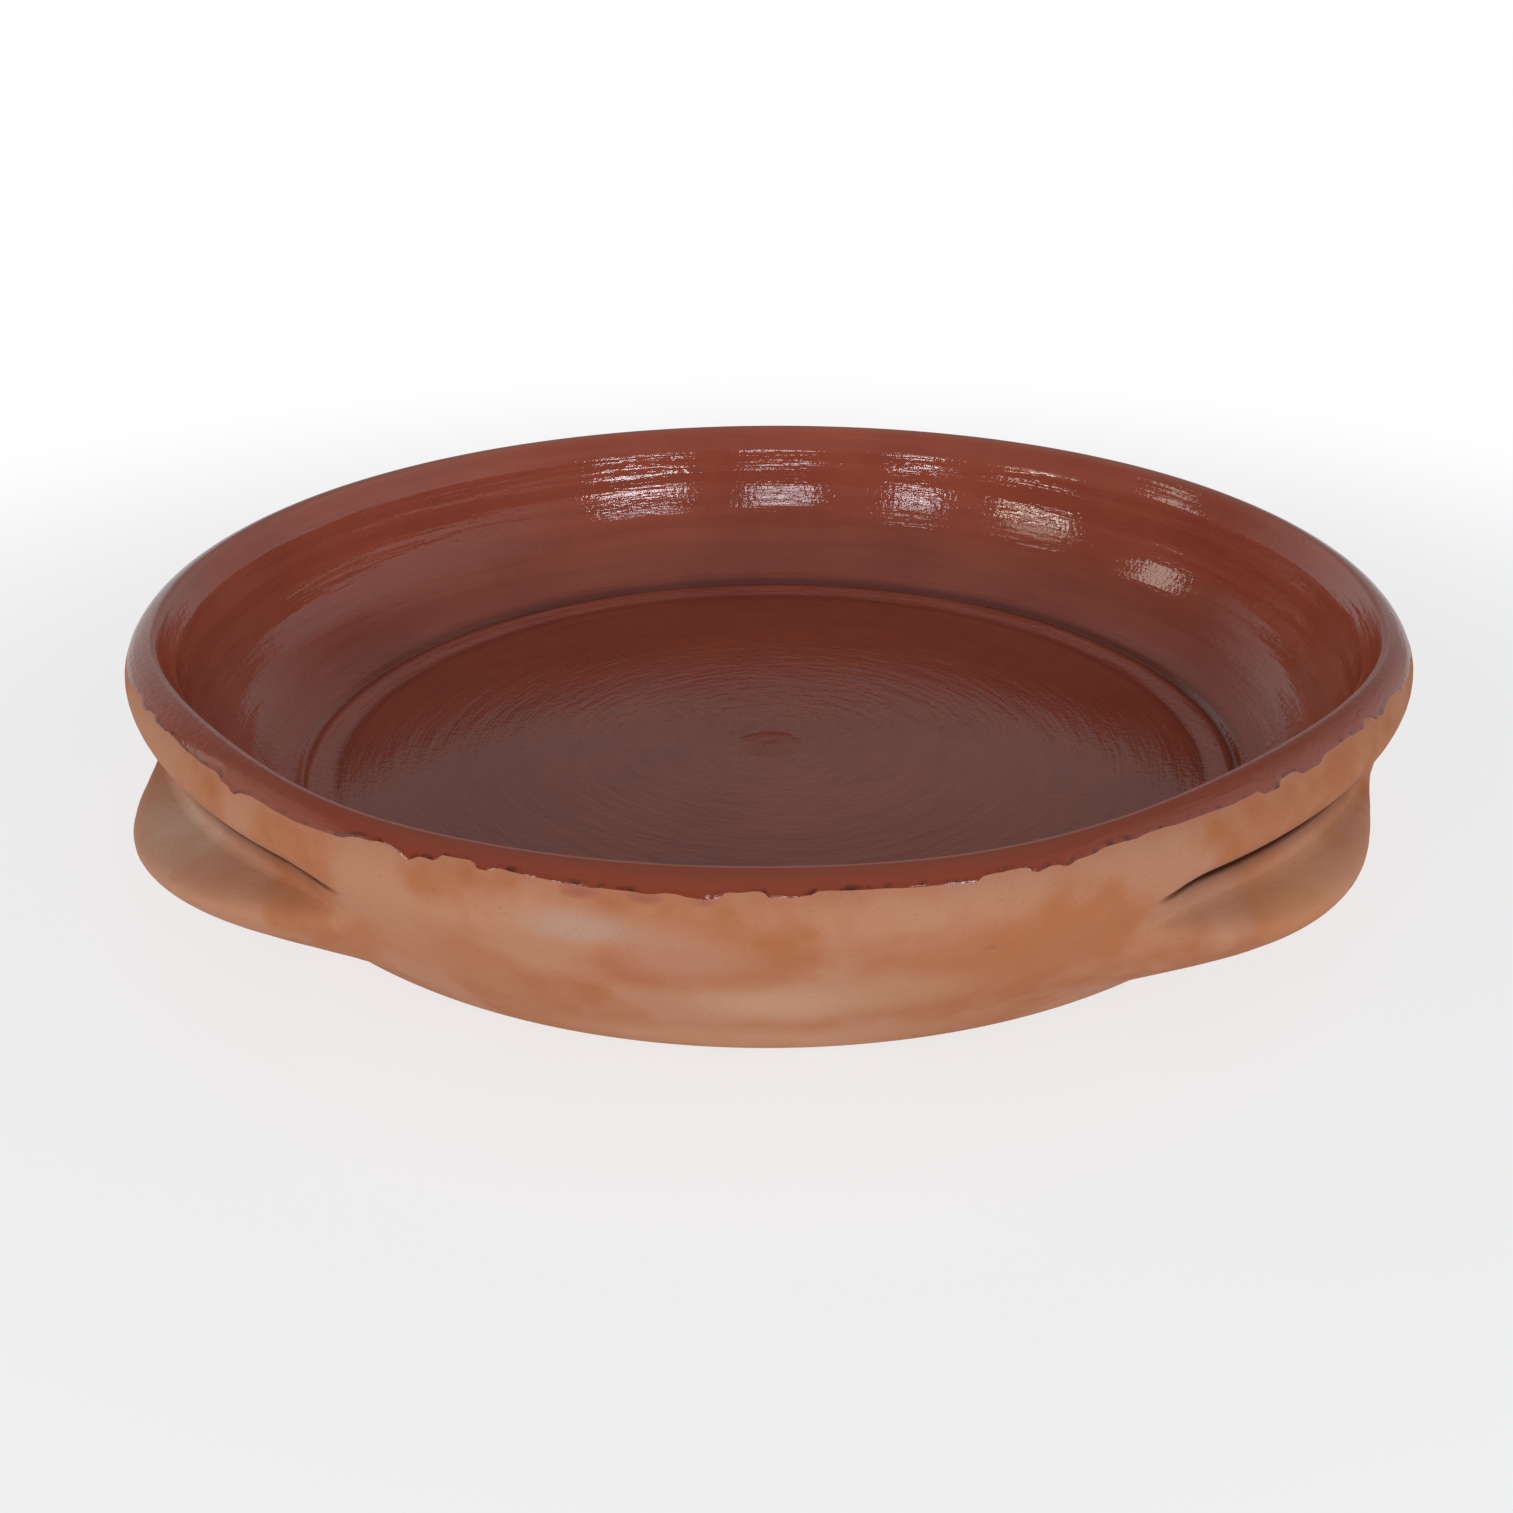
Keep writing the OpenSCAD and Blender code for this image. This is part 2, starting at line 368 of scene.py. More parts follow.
def inside_section():
    """The inside from the crest to the floor's edge: crest arc, bevel, wall, cove arc, groove and step,
    drawn as one line, evened by a short running mean so that its corners are as soft as thrown clay's.
    Gives the stations' lengths from the crest, their points, and the line's direction there."""
    lead = math.radians(25)
    rim_end = arc(rim_centre, RIM_R, np.linspace(CREST_TURN - lead, CREST_TURN, 12)[:-1])
    crest_arc = arc(crest_centre, CREST_R, np.linspace(CREST_TURN, np.pi - BEVEL_LEAN, 14))
    bevel_foot = crest_arc[-1] - BEVEL_H * np.array([math.tan(BEVEL_LEAN), 1])
    floor_edge = np.array([floor_edge_r, FLOOR_T])
    step_top = floor_edge + STEP_W * np.array([math.cos(STEP_SLOPE), math.sin(STEP_SLOPE)])
    groove_low = step_top + np.array([GROOVE_W / 2, -GROOVE_DEPTH])
    cove_foot = step_top + GROOVE_W * np.array([1, math.tan(COVE_SLOPE)])
    wall_dir = np.array([math.cos(INNER_LEAN), -math.sin(INNER_LEAN)])
    cove_r = (bevel_foot - cove_foot) @ wall_dir / (1 - math.sin(COVE_SLOPE + INNER_LEAN))
    cove_centre = cove_foot + cove_r * np.array([-math.sin(COVE_SLOPE), math.cos(COVE_SLOPE)])
    cove_arc = arc(cove_centre, cove_r, np.linspace(-INNER_LEAN, COVE_SLOPE - np.pi / 2, 40))
    line = np.vstack([rim_end, crest_arc, bevel_foot, cove_arc, groove_low, step_top, floor_edge,
                      floor_edge - [12, 0]])

    even_step, soften = 0.1, 7
    length = np.concatenate([[0], np.cumsum(np.hypot(*np.diff(line, axis=0).T))])
    fine = np.arange(0, length[-1], even_step)
    even = np.column_stack([np.interp(fine, length, line[:, 0]), np.interp(fine, length, line[:, 1])])
    kernel = np.exp(-np.linspace(-2, 2, 2 * soften + 1) ** 2)
    kernel /= kernel.sum()
    padded = np.pad(even, ((soften, soften), (0, 0)), mode="edge")
    even = np.column_stack([np.convolve(padded[:, axis], kernel, mode="valid") for axis in (0, 1)])

    crest_at = RIM_R * lead
    bevel_at = crest_at + CREST_R * (np.pi - BEVEL_LEAN - CREST_TURN)
    foot_at = bevel_at + BEVEL_H / math.cos(BEVEL_LEAN)
    floor_at = length[-2]
    groove_at = floor_at - STEP_W - GROOVE_W - 3
    corner = 1.2
    stations = np.concatenate([
        np.linspace(crest_at + 0.4, bevel_at, 6),
        np.linspace(bevel_at, foot_at - corner, 6)[1:],
        np.linspace(foot_at - corner, foot_at + corner, 6)[1:],
        np.linspace(foot_at + corner, groove_at, 32)[1:],
        np.linspace(groove_at, floor_at + 1.5, 17)[1:],
    ])
    pick = [np.interp(stations, fine, even[:, axis]) for axis in (0, 1)]
    slope = [np.interp(stations, fine, np.gradient(even[:, axis], even_step)) for axis in (0, 1)]
    return stations - crest_at, pick, slope


def inside_rows():
    """Rows down the inside. Thrown ridges lift the line along its normal: a slow sine wave of the pulled
    wall and a finer one, both winding a little, which fade at the crest and by the groove. The groove runs
    out on the left, where a bell curve fills it."""
    at, (line_r, line_z), (slope_r, slope_z) = inside_section()
    size = np.hypot(slope_r, slope_z)
    wind = 0.8 * np.sin(azimuth + 0.7) + 0.4 * waves(azimuth, 2, 9, 0.7, 41)
    slow = np.sin(2 * np.pi * at[:, None] / RIDGE_SPACING + wind[None, :] + 1.0)
    quick = np.sin(2 * np.pi * at[:, None] / (FINER_SPACING * RIDGE_SPACING)
                   + azimuth[None, :] + 1.7 * wind[None, :])
    fade = smooth((at - 12) / 6) * smooth((at[-1] - 14 - at) / 10)
    lift = fade[:, None] * (RIDGE_RISE * slow + FINER_RISE * RIDGE_RISE * quick)
    radius = line_r[:, None] + lift * (slope_z / size)[:, None]
    height = line_z[:, None] - lift * (slope_r / size)[:, None]
    height += WORN_FILL * groove_wear(azimuth) * bell(radius, groove_r, 1.8)
    return radius, height


def floor_height(radius, angle):
    """The thrown floor: nearly flat, with slow shallow swells and a faint spiral ridge that winds in to the
    button left by the maker's fingers, which is a low dome with a ring round it, deeper on one side."""
    turn = 2 * np.pi * radius / SPIRAL_SPACING - angle
    spiral = SPIRAL_RISE * np.sin(turn + 0.6 * np.sin(2 * angle + radius / 30))
    spiral += LINE_RISE * np.sin(2 * np.pi * radius / LINE_SPACING + 3 * np.sin(angle + radius / 19))
    near = bell(radius, 0, 75)
    swell = (SWELL_ROUND * np.sin(3 * angle + radius / 16) * smooth(radius / 60)
             + SWELL_OUT * np.sin(radius / 11 + angle))
    inner = smooth((radius - 9) / 10) * smooth((floor_edge_r - radius) / 12)
    dome = BUTTON_H * np.clip(1 - (radius / BUTTON_R) ** 2, 0, None) ** 1.2
    moat = -MOAT_DEPTH * bell(radius, BUTTON_R + 1.5, 2.2) * (0.6 + 0.4 * np.sin(angle))
    return FLOOR_T + inner * ((0.3 + 0.7 * near) * spiral + swell) + dome + moat


def out_of_true(radius, height, angle):
    """A hand-thrown dish isn't quite round or level. The rim dips and draws in a little by slow waves, and
    above each lug that shows it is pushed in, by a squared cosine. It never passes the frame's box, and
    keeps its place at the foot."""
    up = smooth(height / HEIGHT)
    dip = (DIP_ALL + DIP_BACK * np.clip(np.sin(angle), 0, 1) ** 4
           + DIP_WAVE * (1 + np.sin(3 * angle + 0.9)))
    draw = DRAW_OVAL * (1 + np.sin(2 * angle + 2.0)) + DRAW_TRIANGLE * (1 + np.sin(3 * angle + 0.4))
    radius = radius * (1 - draw * up)
    height = height * (1 - dip / HEIGHT * up)
    high = smooth((height - PUSH_FROM) / (HEIGHT - PUSH_FROM))
    for centre, half, push in THUMB_PUSHES:
        part = np.clip(degrees_from(angle, centre) / half, -1, 1)
        radius = radius - push * np.cos(np.pi / 2 * part) ** 2 * high
    return radius, height


def dish_rings():
    """All rings from the middle of the underside, up the outside, over the rim and in to the middle of the
    floor. Each holds its angles, radii, heights, glaze measures and depths in the crease, which set the
    shade painted there. Two neighbours have the same number of points, or one has twice as many as the
    other."""
    outside_r, outside_z, crease_shade, outside_steps = outside_rows()
    rim_r, rim_z, rim_glazed = rim_rows()
    inside_r, inside_z = inside_rows()
    band_r = np.vstack([outside_r, rim_r, inside_r])
    band_z = np.vstack([outside_z, rim_z, inside_z])
    glazed = np.vstack([
        BARE_LOW + (BARE_TOP - BARE_LOW) * smooth((outside_z - 45) / 9),
        rim_glazed,
        np.full(inside_r.shape, GLAZED_INSIDE),
    ])
    crease_shade = np.vstack([crease_shade, np.zeros_like(rim_r), np.zeros_like(inside_r)])
    steps = np.concatenate([
        outside_steps, np.full(len(rim_r), EVERY_END), [EVERY_LUG], np.full(len(inside_r) - 1, EVERY_WALL)])
    band_r, band_z = out_of_true(band_r, band_z, azimuth[None, :])

    few = azimuth[::EVERY_FLAT]
    none = 0 * few
    rings = [(few, base_r * share + none, none, none + BARE_LOW, none) for share in (0.25, 0.5, 0.75, 0.96)]
    rings += [(azimuth[::step], r[::step], z[::step], g[::step], c[::step])
              for step, r, z, g, c in zip(steps, band_r, band_z, glazed, crease_shade)]
    floor_from = inside_r[-1].min()
    floor = np.concatenate([
        np.linspace(floor_from - 1.4, BUTTON_R + 4, 56),
        np.linspace(BUTTON_R + 3, 1.2, 12)])
    rings += [(few, radius + none, floor_height(radius, few), none + GLAZED_INSIDE, none)
              for radius in floor]
    return rings


def ring_faces(first, count, after, after_count):
    """Faces between two neighbouring rings: quads where they match, or three triangles for each coarse
    step where one has twice the points of the other. All turn so that their normals face outwards."""
    def place(start, size, index):
        return start + index % size
    if count == after_count:
        step = np.arange(count)
        quads = [place(first, count, step), place(first, count, step + 1),
                 place(after, count, step + 1), place(after, count, step)]
        return np.column_stack(quads).tolist()
    if count > after_count:
        step = np.arange(after_count)
        a, b, c = (place(first, count, 2 * step + k) for k in range(3))
        low, high = place(after, after_count, step), place(after, after_count, step + 1)
        corners = [(a, b, low), (b, high, low), (b, c, high)]
    else:
        step = np.arange(count)
        a, b, c = (place(after, after_count, 2 * step + k) for k in range(3))
        low, high = place(first, count, step), place(first, count, step + 1)
        corners = [(low, b, a), (low, high, b), (high, c, b)]
    return np.vstack([np.column_stack(triple) for triple in corners]).tolist()


def glaze_pool(angle, radius, height, glaze_edge):
    """How thick the glaze lies, where 0 is as on the wall: bell curves add to it in the groove and at the
    floor's edge, a smooth step adds a little on the floor, and a bell curve takes it off the crest, where
    it is thinner and its lighter colour also paints a highlight line."""
    inside = glaze_edge > INSIDE_PAST
    in_groove = inside * (1 - 0.8 * groove_wear(angle)) * bell(radius, groove_r, 2.4)
    at_edge = inside * 0.5 * bell(radius, floor_edge_r - 1, 2.0)
    on_floor = 0.22 * inside * smooth((floor_edge_r - radius) / 8)
    crest_thinning_and_highlight = (glaze_edge > 0) * bell(height, HEIGHT - 0.4, 1.2)
    return in_groove + at_edge + on_floor - crest_thinning_and_highlight


def build_dish():
    """Joins the rings into one closed mesh, with a point at each pole. Four attributes ride on it: sweep
    (a short circle round the dish, and the length along the section), glaze_edge (millimetres past the
    glaze's end), pool (how thick the glaze lies, which on the crest also sets a painted highlight) and
    crease (how deep a place lies in the crease under the rim, which sets the shade painted there)."""
    rings = dish_rings()
    angle, radius, height, glaze_edge, crease = (np.concatenate(part) for part in zip(*rings))
    counts = [ring[0].size for ring in rings]
    starts = np.concatenate([[0], np.cumsum(counts)])
    points = np.column_stack([radius * np.cos(angle), radius * np.sin(angle), height])
    under_pole, floor_pole = len(points), len(points) + 1
    points = np.vstack([points, [0, 0, 0], [0, 0, float(floor_height(0.0, 0.0))]])

    faces, glazed_face = [], []
    for index in range(len(rings) - 1):
        new = ring_faces(starts[index], counts[index], starts[index + 1], counts[index + 1])
        faces += new
        glazed_face += [bool(rings[index][3].mean() > GLAZED_PAST)] * len(new)
    step = np.arange(counts[0])
    faces += np.column_stack([np.full(counts[0], under_pole), (step + 1) % counts[0], step]).tolist()
    glazed_face += [False] * counts[0]
    step = np.arange(counts[-1])
    last = starts[-2]
    faces += np.column_stack([last + step, last + (step + 1) % counts[-1],
                              np.full(counts[-1], floor_pole)]).tolist()
    glazed_face += [True] * counts[-1]

    mesh = bpy.data.meshes.new("thrown_dish")
    mesh.from_pydata((points * MM).tolist(), [], faces)
    mesh.polygons.foreach_set("material_index", np.array(glazed_face, dtype=np.int32))
    mesh.polygons.foreach_set("use_smooth", np.ones(len(faces), dtype=bool))

    mean = np.array([[ring[1].mean(), ring[2].mean()] for ring in rings])
    along = mean[0, 0] + np.concatenate([[0], np.cumsum(np.hypot(*np.diff(mean, axis=0).T))])
    sweep = np.column_stack([10 * np.cos(angle), 10 * np.sin(angle), np.repeat(along, counts)]) * MM
    pool = glaze_pool(angle, radius, height, glaze_edge)
    for name, kind, field, values, poles in (
        ("sweep", "FLOAT_VECTOR", "vector", sweep, [[0, 0, 0], [0, 0, along[-1] * MM]]),
        ("glaze_edge", "FLOAT", "value", glaze_edge, [BARE_LOW, GLAZED_INSIDE]),
        ("pool", "FLOAT", "value", pool, [0, 0]),
        ("crease", "FLOAT", "value", crease, [0, 0]),
    ):
        attribute = mesh.attributes.new(name, kind, "POINT")
        attribute.data.foreach_set(field, np.concatenate([values, poles]).astype(np.float32).ravel())
    mesh.validate()
    mesh.update()
    dish = bpy.data.objects.new("thrown_dish", mesh)
    bpy.context.scene.collection.objects.link(dish)
    return dish


def linear(hex_colour):
    """Linear RGBA of an sRGB colour written as #RRGGBB."""
    parts = [int(hex_colour[k:k + 2], 16) / 255 for k in (1, 3, 5)]
    return [c / 12.92 if c <= 0.04045 else ((c + 0.055) / 1.055) ** 2.4 for c in parts] + [1]


def per_mm(size):
    """Scale of a texture on metre coordinates whose features are this many millimetres across."""
    return 1 / (size * MM)


def add(tree, kind, inputs=None, **settings):
    """Adds a node with its settings. An input is a value for its socket, or a socket to link to it."""
    made = tree.nodes.new(kind)
    for name, value in settings.items():
        setattr(made, name, value)
    for name, value in (inputs or {}).items():
        if isinstance(value, bpy.types.NodeSocket):
            tree.links.new(value, made.inputs[name])
        else:
            made.inputs[name].default_value = value
    return made


# Sockets of a mix node that mixes colours. A map range's are 0 for its value, 1 and 2 for the range that it
# reads, and 3 and 4 for the range that it gives, 0 to 1 if they aren't set
FACTOR, COLOUR_A, COLOUR_B, COLOUR_OUT = 0, 6, 7, 2


def new_material(name):
    """An empty material, its node tree and its output node."""
    made = bpy.data.materials.new(name)
    made.use_nodes = True
    made.node_tree.nodes.clear()
    return made, made.node_tree, add(made.node_tree, "ShaderNodeOutputMaterial")


def layered(tree, base, layers):
    """A colour with layers laid over it in turn: each a node that gives its cover, 0 to 1, and a colour."""
    colour = linear(base)
    for cover, tint in layers:
        colour = add(tree, "ShaderNodeMix", {
            FACTOR: cover.outputs[0], COLOUR_A: colour, COLOUR_B: linear(tint)},
            data_type="RGBA").outputs[COLOUR_OUT]
    return colour


# How far a spot on the surface reaches through it
SPOT_DEPTH = 20.0


def from_spot(tree, place, turn, radius, height, half_wide, half_high):
    """Distance from a spot on the dish at an azimuth in degrees: the length of the way to it, measured in
    half widths round the dish, half heights up it and SPOT_DEPTH through it."""
    around = math.radians(turn)
    spot = add(tree, "ShaderNodeMapping", {
        "Vector": place,
        "Location": (radius * math.cos(around) * MM, radius * math.sin(around) * MM, height * MM),
        "Rotation": (0, 0, around),
        "Scale": (SPOT_DEPTH * MM, half_wide * MM, half_high * MM)}, vector_type="TEXTURE")
    return add(tree, "ShaderNodeVectorMath", {0: spot.outputs[0]}, operation="LENGTH").outputs["Value"]


# The dull, thin glaze on the rim above the left lug: azimuth in degrees, then radius, height, half width
# and half height in millimetres
DULL_SPOT = (-127.0, 178.0, 56.0, 46.0, 7.0)


def clear_glaze_on_red_clay():
    """Clear lead-free glaze fired onto red clay: wet, deep red-brown, and the clay's colour shows through.
    It's darker where it lies thick, on the floor, in the groove and in beads at its ragged end, and thinner
    and lighter on the crest, where the lighter colour also paints a highlight line. It mirrors the light in
    streaks on the wall, because it follows the fine lines left by the maker's fingers, and in a mottle
    where its own skin is uneven. On the rim above the left lug it ran thin, and is dull."""
    made, tree, output = new_material("clear glaze on red clay")
    place = add(tree, "ShaderNodeTexCoord").outputs["Object"]
    sweep = add(tree, "ShaderNodeAttribute", attribute_name="sweep").outputs["Vector"]
    pool = add(tree, "ShaderNodeAttribute", attribute_name="pool").outputs["Fac"]
    edge = add(tree, "ShaderNodeAttribute", attribute_name="glaze_edge").outputs["Fac"]

    cloud = add(tree, "ShaderNodeTexNoise", {"Vector": place, "Scale": per_mm(55), "Detail": 3.0})
    mottle = add(tree, "ShaderNodeTexNoise", {"Vector": place, "Scale": per_mm(7), "Detail": 4.0})
    lumps = add(tree, "ShaderNodeTexNoise", {"Vector": place, "Scale": per_mm(3.2), "Detail": 2.0})
    streak = add(tree, "ShaderNodeTexNoise", {"Vector": sweep, "Scale": per_mm(4.5), "Detail": 3.0})
    tone = add(tree, "ShaderNodeMapRange", {0: cloud.outputs["Fac"], 1: 0.35, 2: 0.65})
    fleck = add(tree, "ShaderNodeMapRange", {0: mottle.outputs["Fac"], 1: 0.30, 2: 0.72, 3: 0.0, 4: 0.25})
    lines = add(tree, "ShaderNodeMapRange", {0: streak.outputs["Fac"], 1: 0.40, 2: 0.72, 3: 0.0, 4: 0.22})
    thick = add(tree, "ShaderNodeMapRange", {0: pool, 1: 0.0, 2: 1.0, 3: 0.0, 4: 0.7})
    # Painted highlight: the crest is lighter, partly as thinner glaze and partly as a highlight line along
    # it
    thin = add(tree, "ShaderNodeMapRange", {0: pool, 1: 0.0, 2: -1.0, 3: 0.0, 4: 0.45})
    rim = add(tree, "ShaderNodeMapRange", {0: edge, 1: 16.0, 2: 7.0, 3: 0.0, 4: 0.85})
    at_end = add(tree, "ShaderNodeMapRange", {0: edge, 1: 1.5, 2: 0.5, 3: 0.0, 4: 1.0})
    lump = add(tree, "ShaderNodeMapRange", {0: lumps.outputs["Fac"], 1: 0.50, 2: 0.66, 3: 0.15, 4: 0.95})
    bead = add(tree, "ShaderNodeMath", {0: at_end.outputs[0], 1: lump.outputs[0]}, operation="MULTIPLY")
    colour = layered(tree, "#934734", (
        (tone, "#A0513B"),
        (fleck, "#A5543D"),
        (lines, "#6B3024"),
        (thick, "#4A1E16"),
        (thin, "#A56E60"),
        (rim, "#82371D"),
        (bead, "#4A2018"),
    ))

    shine = add(tree, "ShaderNodeMapRange", {0: mottle.outputs["Fac"], 1: 0.3, 2: 0.7, 3: 0.04, 4: 0.08})
    away = from_spot(tree, place, *DULL_SPOT)
    dull = add(tree, "ShaderNodeMapRange", {0: away, 1: 1.1, 2: 0.7, 3: 0.0, 4: 0.42})
    rough = add(tree, "ShaderNodeMath", {0: shine.outputs[0], 1: dull.outputs[0]}, operation="ADD")

    turned = add(tree, "ShaderNodeTexNoise", {"Vector": sweep, "Scale": per_mm(2.2), "Detail": 3.0})
    peel = add(tree, "ShaderNodeTexNoise", {"Vector": place, "Scale": per_mm(1.9), "Detail": 2.0})
    lined = add(tree, "ShaderNodeBump", {
        "Height": turned.outputs["Fac"], "Strength": 1.0, "Distance": GLAZE_LINES * MM})
    skin = add(tree, "ShaderNodeBump", {
        "Height": peel.outputs["Fac"], "Strength": 1.0, "Distance": GLAZE_PEEL * MM,
        "Normal": lined.outputs[0]})
    shader = add(tree, "ShaderNodeBsdfPrincipled", {
        "Base Color": colour, "Roughness": rough.outputs[0], "IOR": 1.5, "Normal": skin.outputs[0]})
    tree.links.new(shader.outputs[0], output.inputs["Surface"])
    return made


# Marks on the bare clay: azimuth in degrees, height, half width and half height in millimetres, colour and
# strength. They are pale and orange flashes of the kiln, small nicks, and stains at the glaze's end. The
# grey-pale flash on the left lug also paints light on its upturned face, and the pale band low on the front
# is painted light thrown up from the floor
CLAY_MARKS = (
    (-99.5, 50.0, 17.0, 5.5, "#AD8D76", 0.80),
    (-96.0, 40.0, 15.0, 8.0, "#A85F38", 0.65),
    (-86.0, 27.0, 24.0, 9.0, "#C09878", 0.60),
    (-112.0, 33.0, 26.0, 16.0, "#AE7350", 0.60),
    # Grey-pale flash on the left lug, also painted light on its upturned face
    (-140.0, 33.0, 30.0, 12.0, "#C6B09C", 0.65),
    (-71.3, 42.7, 1.6, 1.1, "#6E4432", 0.90),
    (-99.0, 58.4, 4.6, 1.7, "#8A4632", 0.75),
    (-94.5, 58.4, 3.4, 1.5, "#8A4632", 0.75),
    (-90.6, 58.4, 3.0, 1.6, "#8A4632", 0.70),
    (-67.8, 35.0, 1.2, 0.8, "#8A5A44", 0.70),
    (-68.0, 40.0, 42.0, 17.0, "#AC683C", 0.75),
    (-93.0, 44.0, 15.0, 9.0, "#B18069", 0.60),
    (-78.0, 30.0, 22.0, 9.0, "#B78A6A", 0.50),
    (-42.0, 33.0, 26.0, 9.0, "#C88F66", 0.65),
    # Painted light: a pale band low on the front, for the light thrown up from the floor
    (-88.0, 9.0, 60.0, 9.0, "#C0916F", 0.50),
    (64.0, 30.0, 34.0, 12.0, "#C09878", 0.55),
    (110.0, 36.0, 22.0, 11.0, "#B4683F", 0.50),
    (178.0, 28.0, 30.0, 10.0, "#BE9172", 0.50),
    (8.0, 34.0, 26.0, 12.0, "#B9704A", 0.50),
)


def bare_fired_red_clay():
    """Unglazed red earthenware: dry and matt, with the fine grain of the body, faint turning lines, pale
    and orange flashes from the kiln, a few specks, the glaze's stain just under its ragged end, and shade
    painted into the creases under the rim. A pale band low on the front paints the light thrown up from the
    floor, and the left lug's grey-pale flash also paints light on its upturned face. A mark's cover is a
    smooth step over its distance, which noise makes ragged."""
    made, tree, output = new_material("bare fired red clay")
    place = add(tree, "ShaderNodeTexCoord").outputs["Object"]
    sweep = add(tree, "ShaderNodeAttribute", attribute_name="sweep").outputs["Vector"]
    edge = add(tree, "ShaderNodeAttribute", attribute_name="glaze_edge").outputs["Fac"]
    crease = add(tree, "ShaderNodeAttribute", attribute_name="crease").outputs["Fac"]

    cloud = add(tree, "ShaderNodeTexNoise", {"Vector": place, "Scale": per_mm(34), "Detail": 3.0})
    mottle = add(tree, "ShaderNodeTexNoise", {"Vector": place, "Scale": per_mm(9), "Detail": 4.0})
    # The body's grit is up to half a millimetre, and is drawn nearly twice as coarse so that it shows
    grain = add(tree, "ShaderNodeTexNoise", {"Vector": place, "Scale": per_mm(0.9), "Detail": 3.0})
    tone = add(tree, "ShaderNodeMapRange", {0: cloud.outputs["Fac"], 1: 0.44, 2: 0.56})
    patch = add(tree, "ShaderNodeMapRange", {0: mottle.outputs["Fac"], 1: 0.4, 2: 0.75, 3: 0.0, 4: 0.5})
    marks = []
    for turn, height, half_wide, half_high, tint, strength in CLAY_MARKS:
        wall = float(outer_radius(np.array(height)))
        away = from_spot(tree, place, turn, wall, height, half_wide, half_high)
        ragged = add(tree, "ShaderNodeMath", {
            0: cloud.outputs["Fac"], 1: 1.1, 2: away}, operation="MULTIPLY_ADD")
        ragged = add(tree, "ShaderNodeMath", {
            0: mottle.outputs["Fac"], 1: 0.7, 2: ragged.outputs[0]}, operation="MULTIPLY_ADD")
        cover = add(tree, "ShaderNodeMapRange", {
            0: ragged.outputs[0], 1: 2.1, 2: 1.1, 3: 0.0, 4: strength}, interpolation_type="SMOOTHSTEP")
        marks.append((cover, tint))
    speck = add(tree, "ShaderNodeMapRange", {0: grain.outputs["Fac"], 1: 0.60, 2: 0.75, 3: 0.0, 4: 0.35})
    stain = add(tree, "ShaderNodeMapRange", {0: edge, 1: -2.4, 2: -0.2, 3: 0.0, 4: 0.45})
    # Painted shade: the clay darkens where the crease attribute is high, under the rim's roll
    deep = add(tree, "ShaderNodeMapRange", {0: crease, 1: 0.0, 2: 1.0, 3: 0.0, 4: 0.8})
    colour = layered(tree, "#A6653B", (
        (tone, "#B07A5B"),
        (patch, "#B58262"),
        *marks,
        (speck, "#8E5A40"),
        (stain, "#B27558"),
        (deep, "#5E3626"),
    ))

    turned = add(tree, "ShaderNodeTexNoise", {"Vector": sweep, "Scale": per_mm(2.6), "Detail": 3.0})
    lined = add(tree, "ShaderNodeBump", {
        "Height": turned.outputs["Fac"], "Strength": 1.0, "Distance": CLAY_LINES * MM})
    gritty = add(tree, "ShaderNodeBump", {
        "Height": grain.outputs["Fac"], "Strength": 1.0, "Distance": CLAY_GRAIN * MM,
        "Normal": lined.outputs[0]})
    shader = add(tree, "ShaderNodeBsdfPrincipled", {
        "Base Color": colour, "Roughness": 0.88, "IOR": 1.5, "Normal": gritty.outputs[0]})
    tree.links.new(shader.outputs[0], output.inputs["Surface"])
    return made


# The camera, from the photograph: the dish is turned a little on its axis, so the view is turned instead.
# Its rise and roll are in radians. The photo's side, focal length and optical centre are in its pixels
VIEW_TURN = math.radians(3.6)
VIEW_DISTANCE = 540 * MM
VIEW_RISE = 0.4419
VIEW_AIM = 7.65 * MM
VIEW_ROLL = -0.0033
PHOTO_SIDE = 1513
PHOTO_FOCAL = 1772.7
PHOTO_CENTRE = (769.66, 749.56)
SENSOR = 36.0


def seen_from(left, rise):
    """Unit vector from the dish to a place that lies left of the camera and up, both as angles."""
    around = -math.pi / 2 + VIEW_TURN - left
    return Vector((math.cos(rise) * math.cos(around), math.cos(rise) * math.sin(around), math.sin(rise)))


def place_camera():
    """Sets the camera at the photograph's angle, distance, focal length and picture centre."""
    lens = bpy.data.cameras.new("camera")
    lens.sensor_width = SENSOR
    lens.lens = PHOTO_FOCAL / PHOTO_SIDE * SENSOR
    lens.shift_x = (PHOTO_SIDE / 2 - PHOTO_CENTRE[0]) / PHOTO_SIDE
    lens.shift_y = (PHOTO_CENTRE[1] - PHOTO_SIDE / 2) / PHOTO_SIDE
    lens.clip_start = 0.01
    camera = bpy.data.objects.new("camera", lens)
    bpy.context.scene.collection.objects.link(camera)
    away = seen_from(0, VIEW_RISE)
    camera.location = Vector((0, 0, VIEW_AIM)) + VIEW_DISTANCE * away
    camera.rotation_euler = (-away).to_track_quat("-Z", "Y").to_euler()
    camera.rotation_euler.rotate_axis("Z", VIEW_ROLL)
    bpy.context.scene.camera = camera


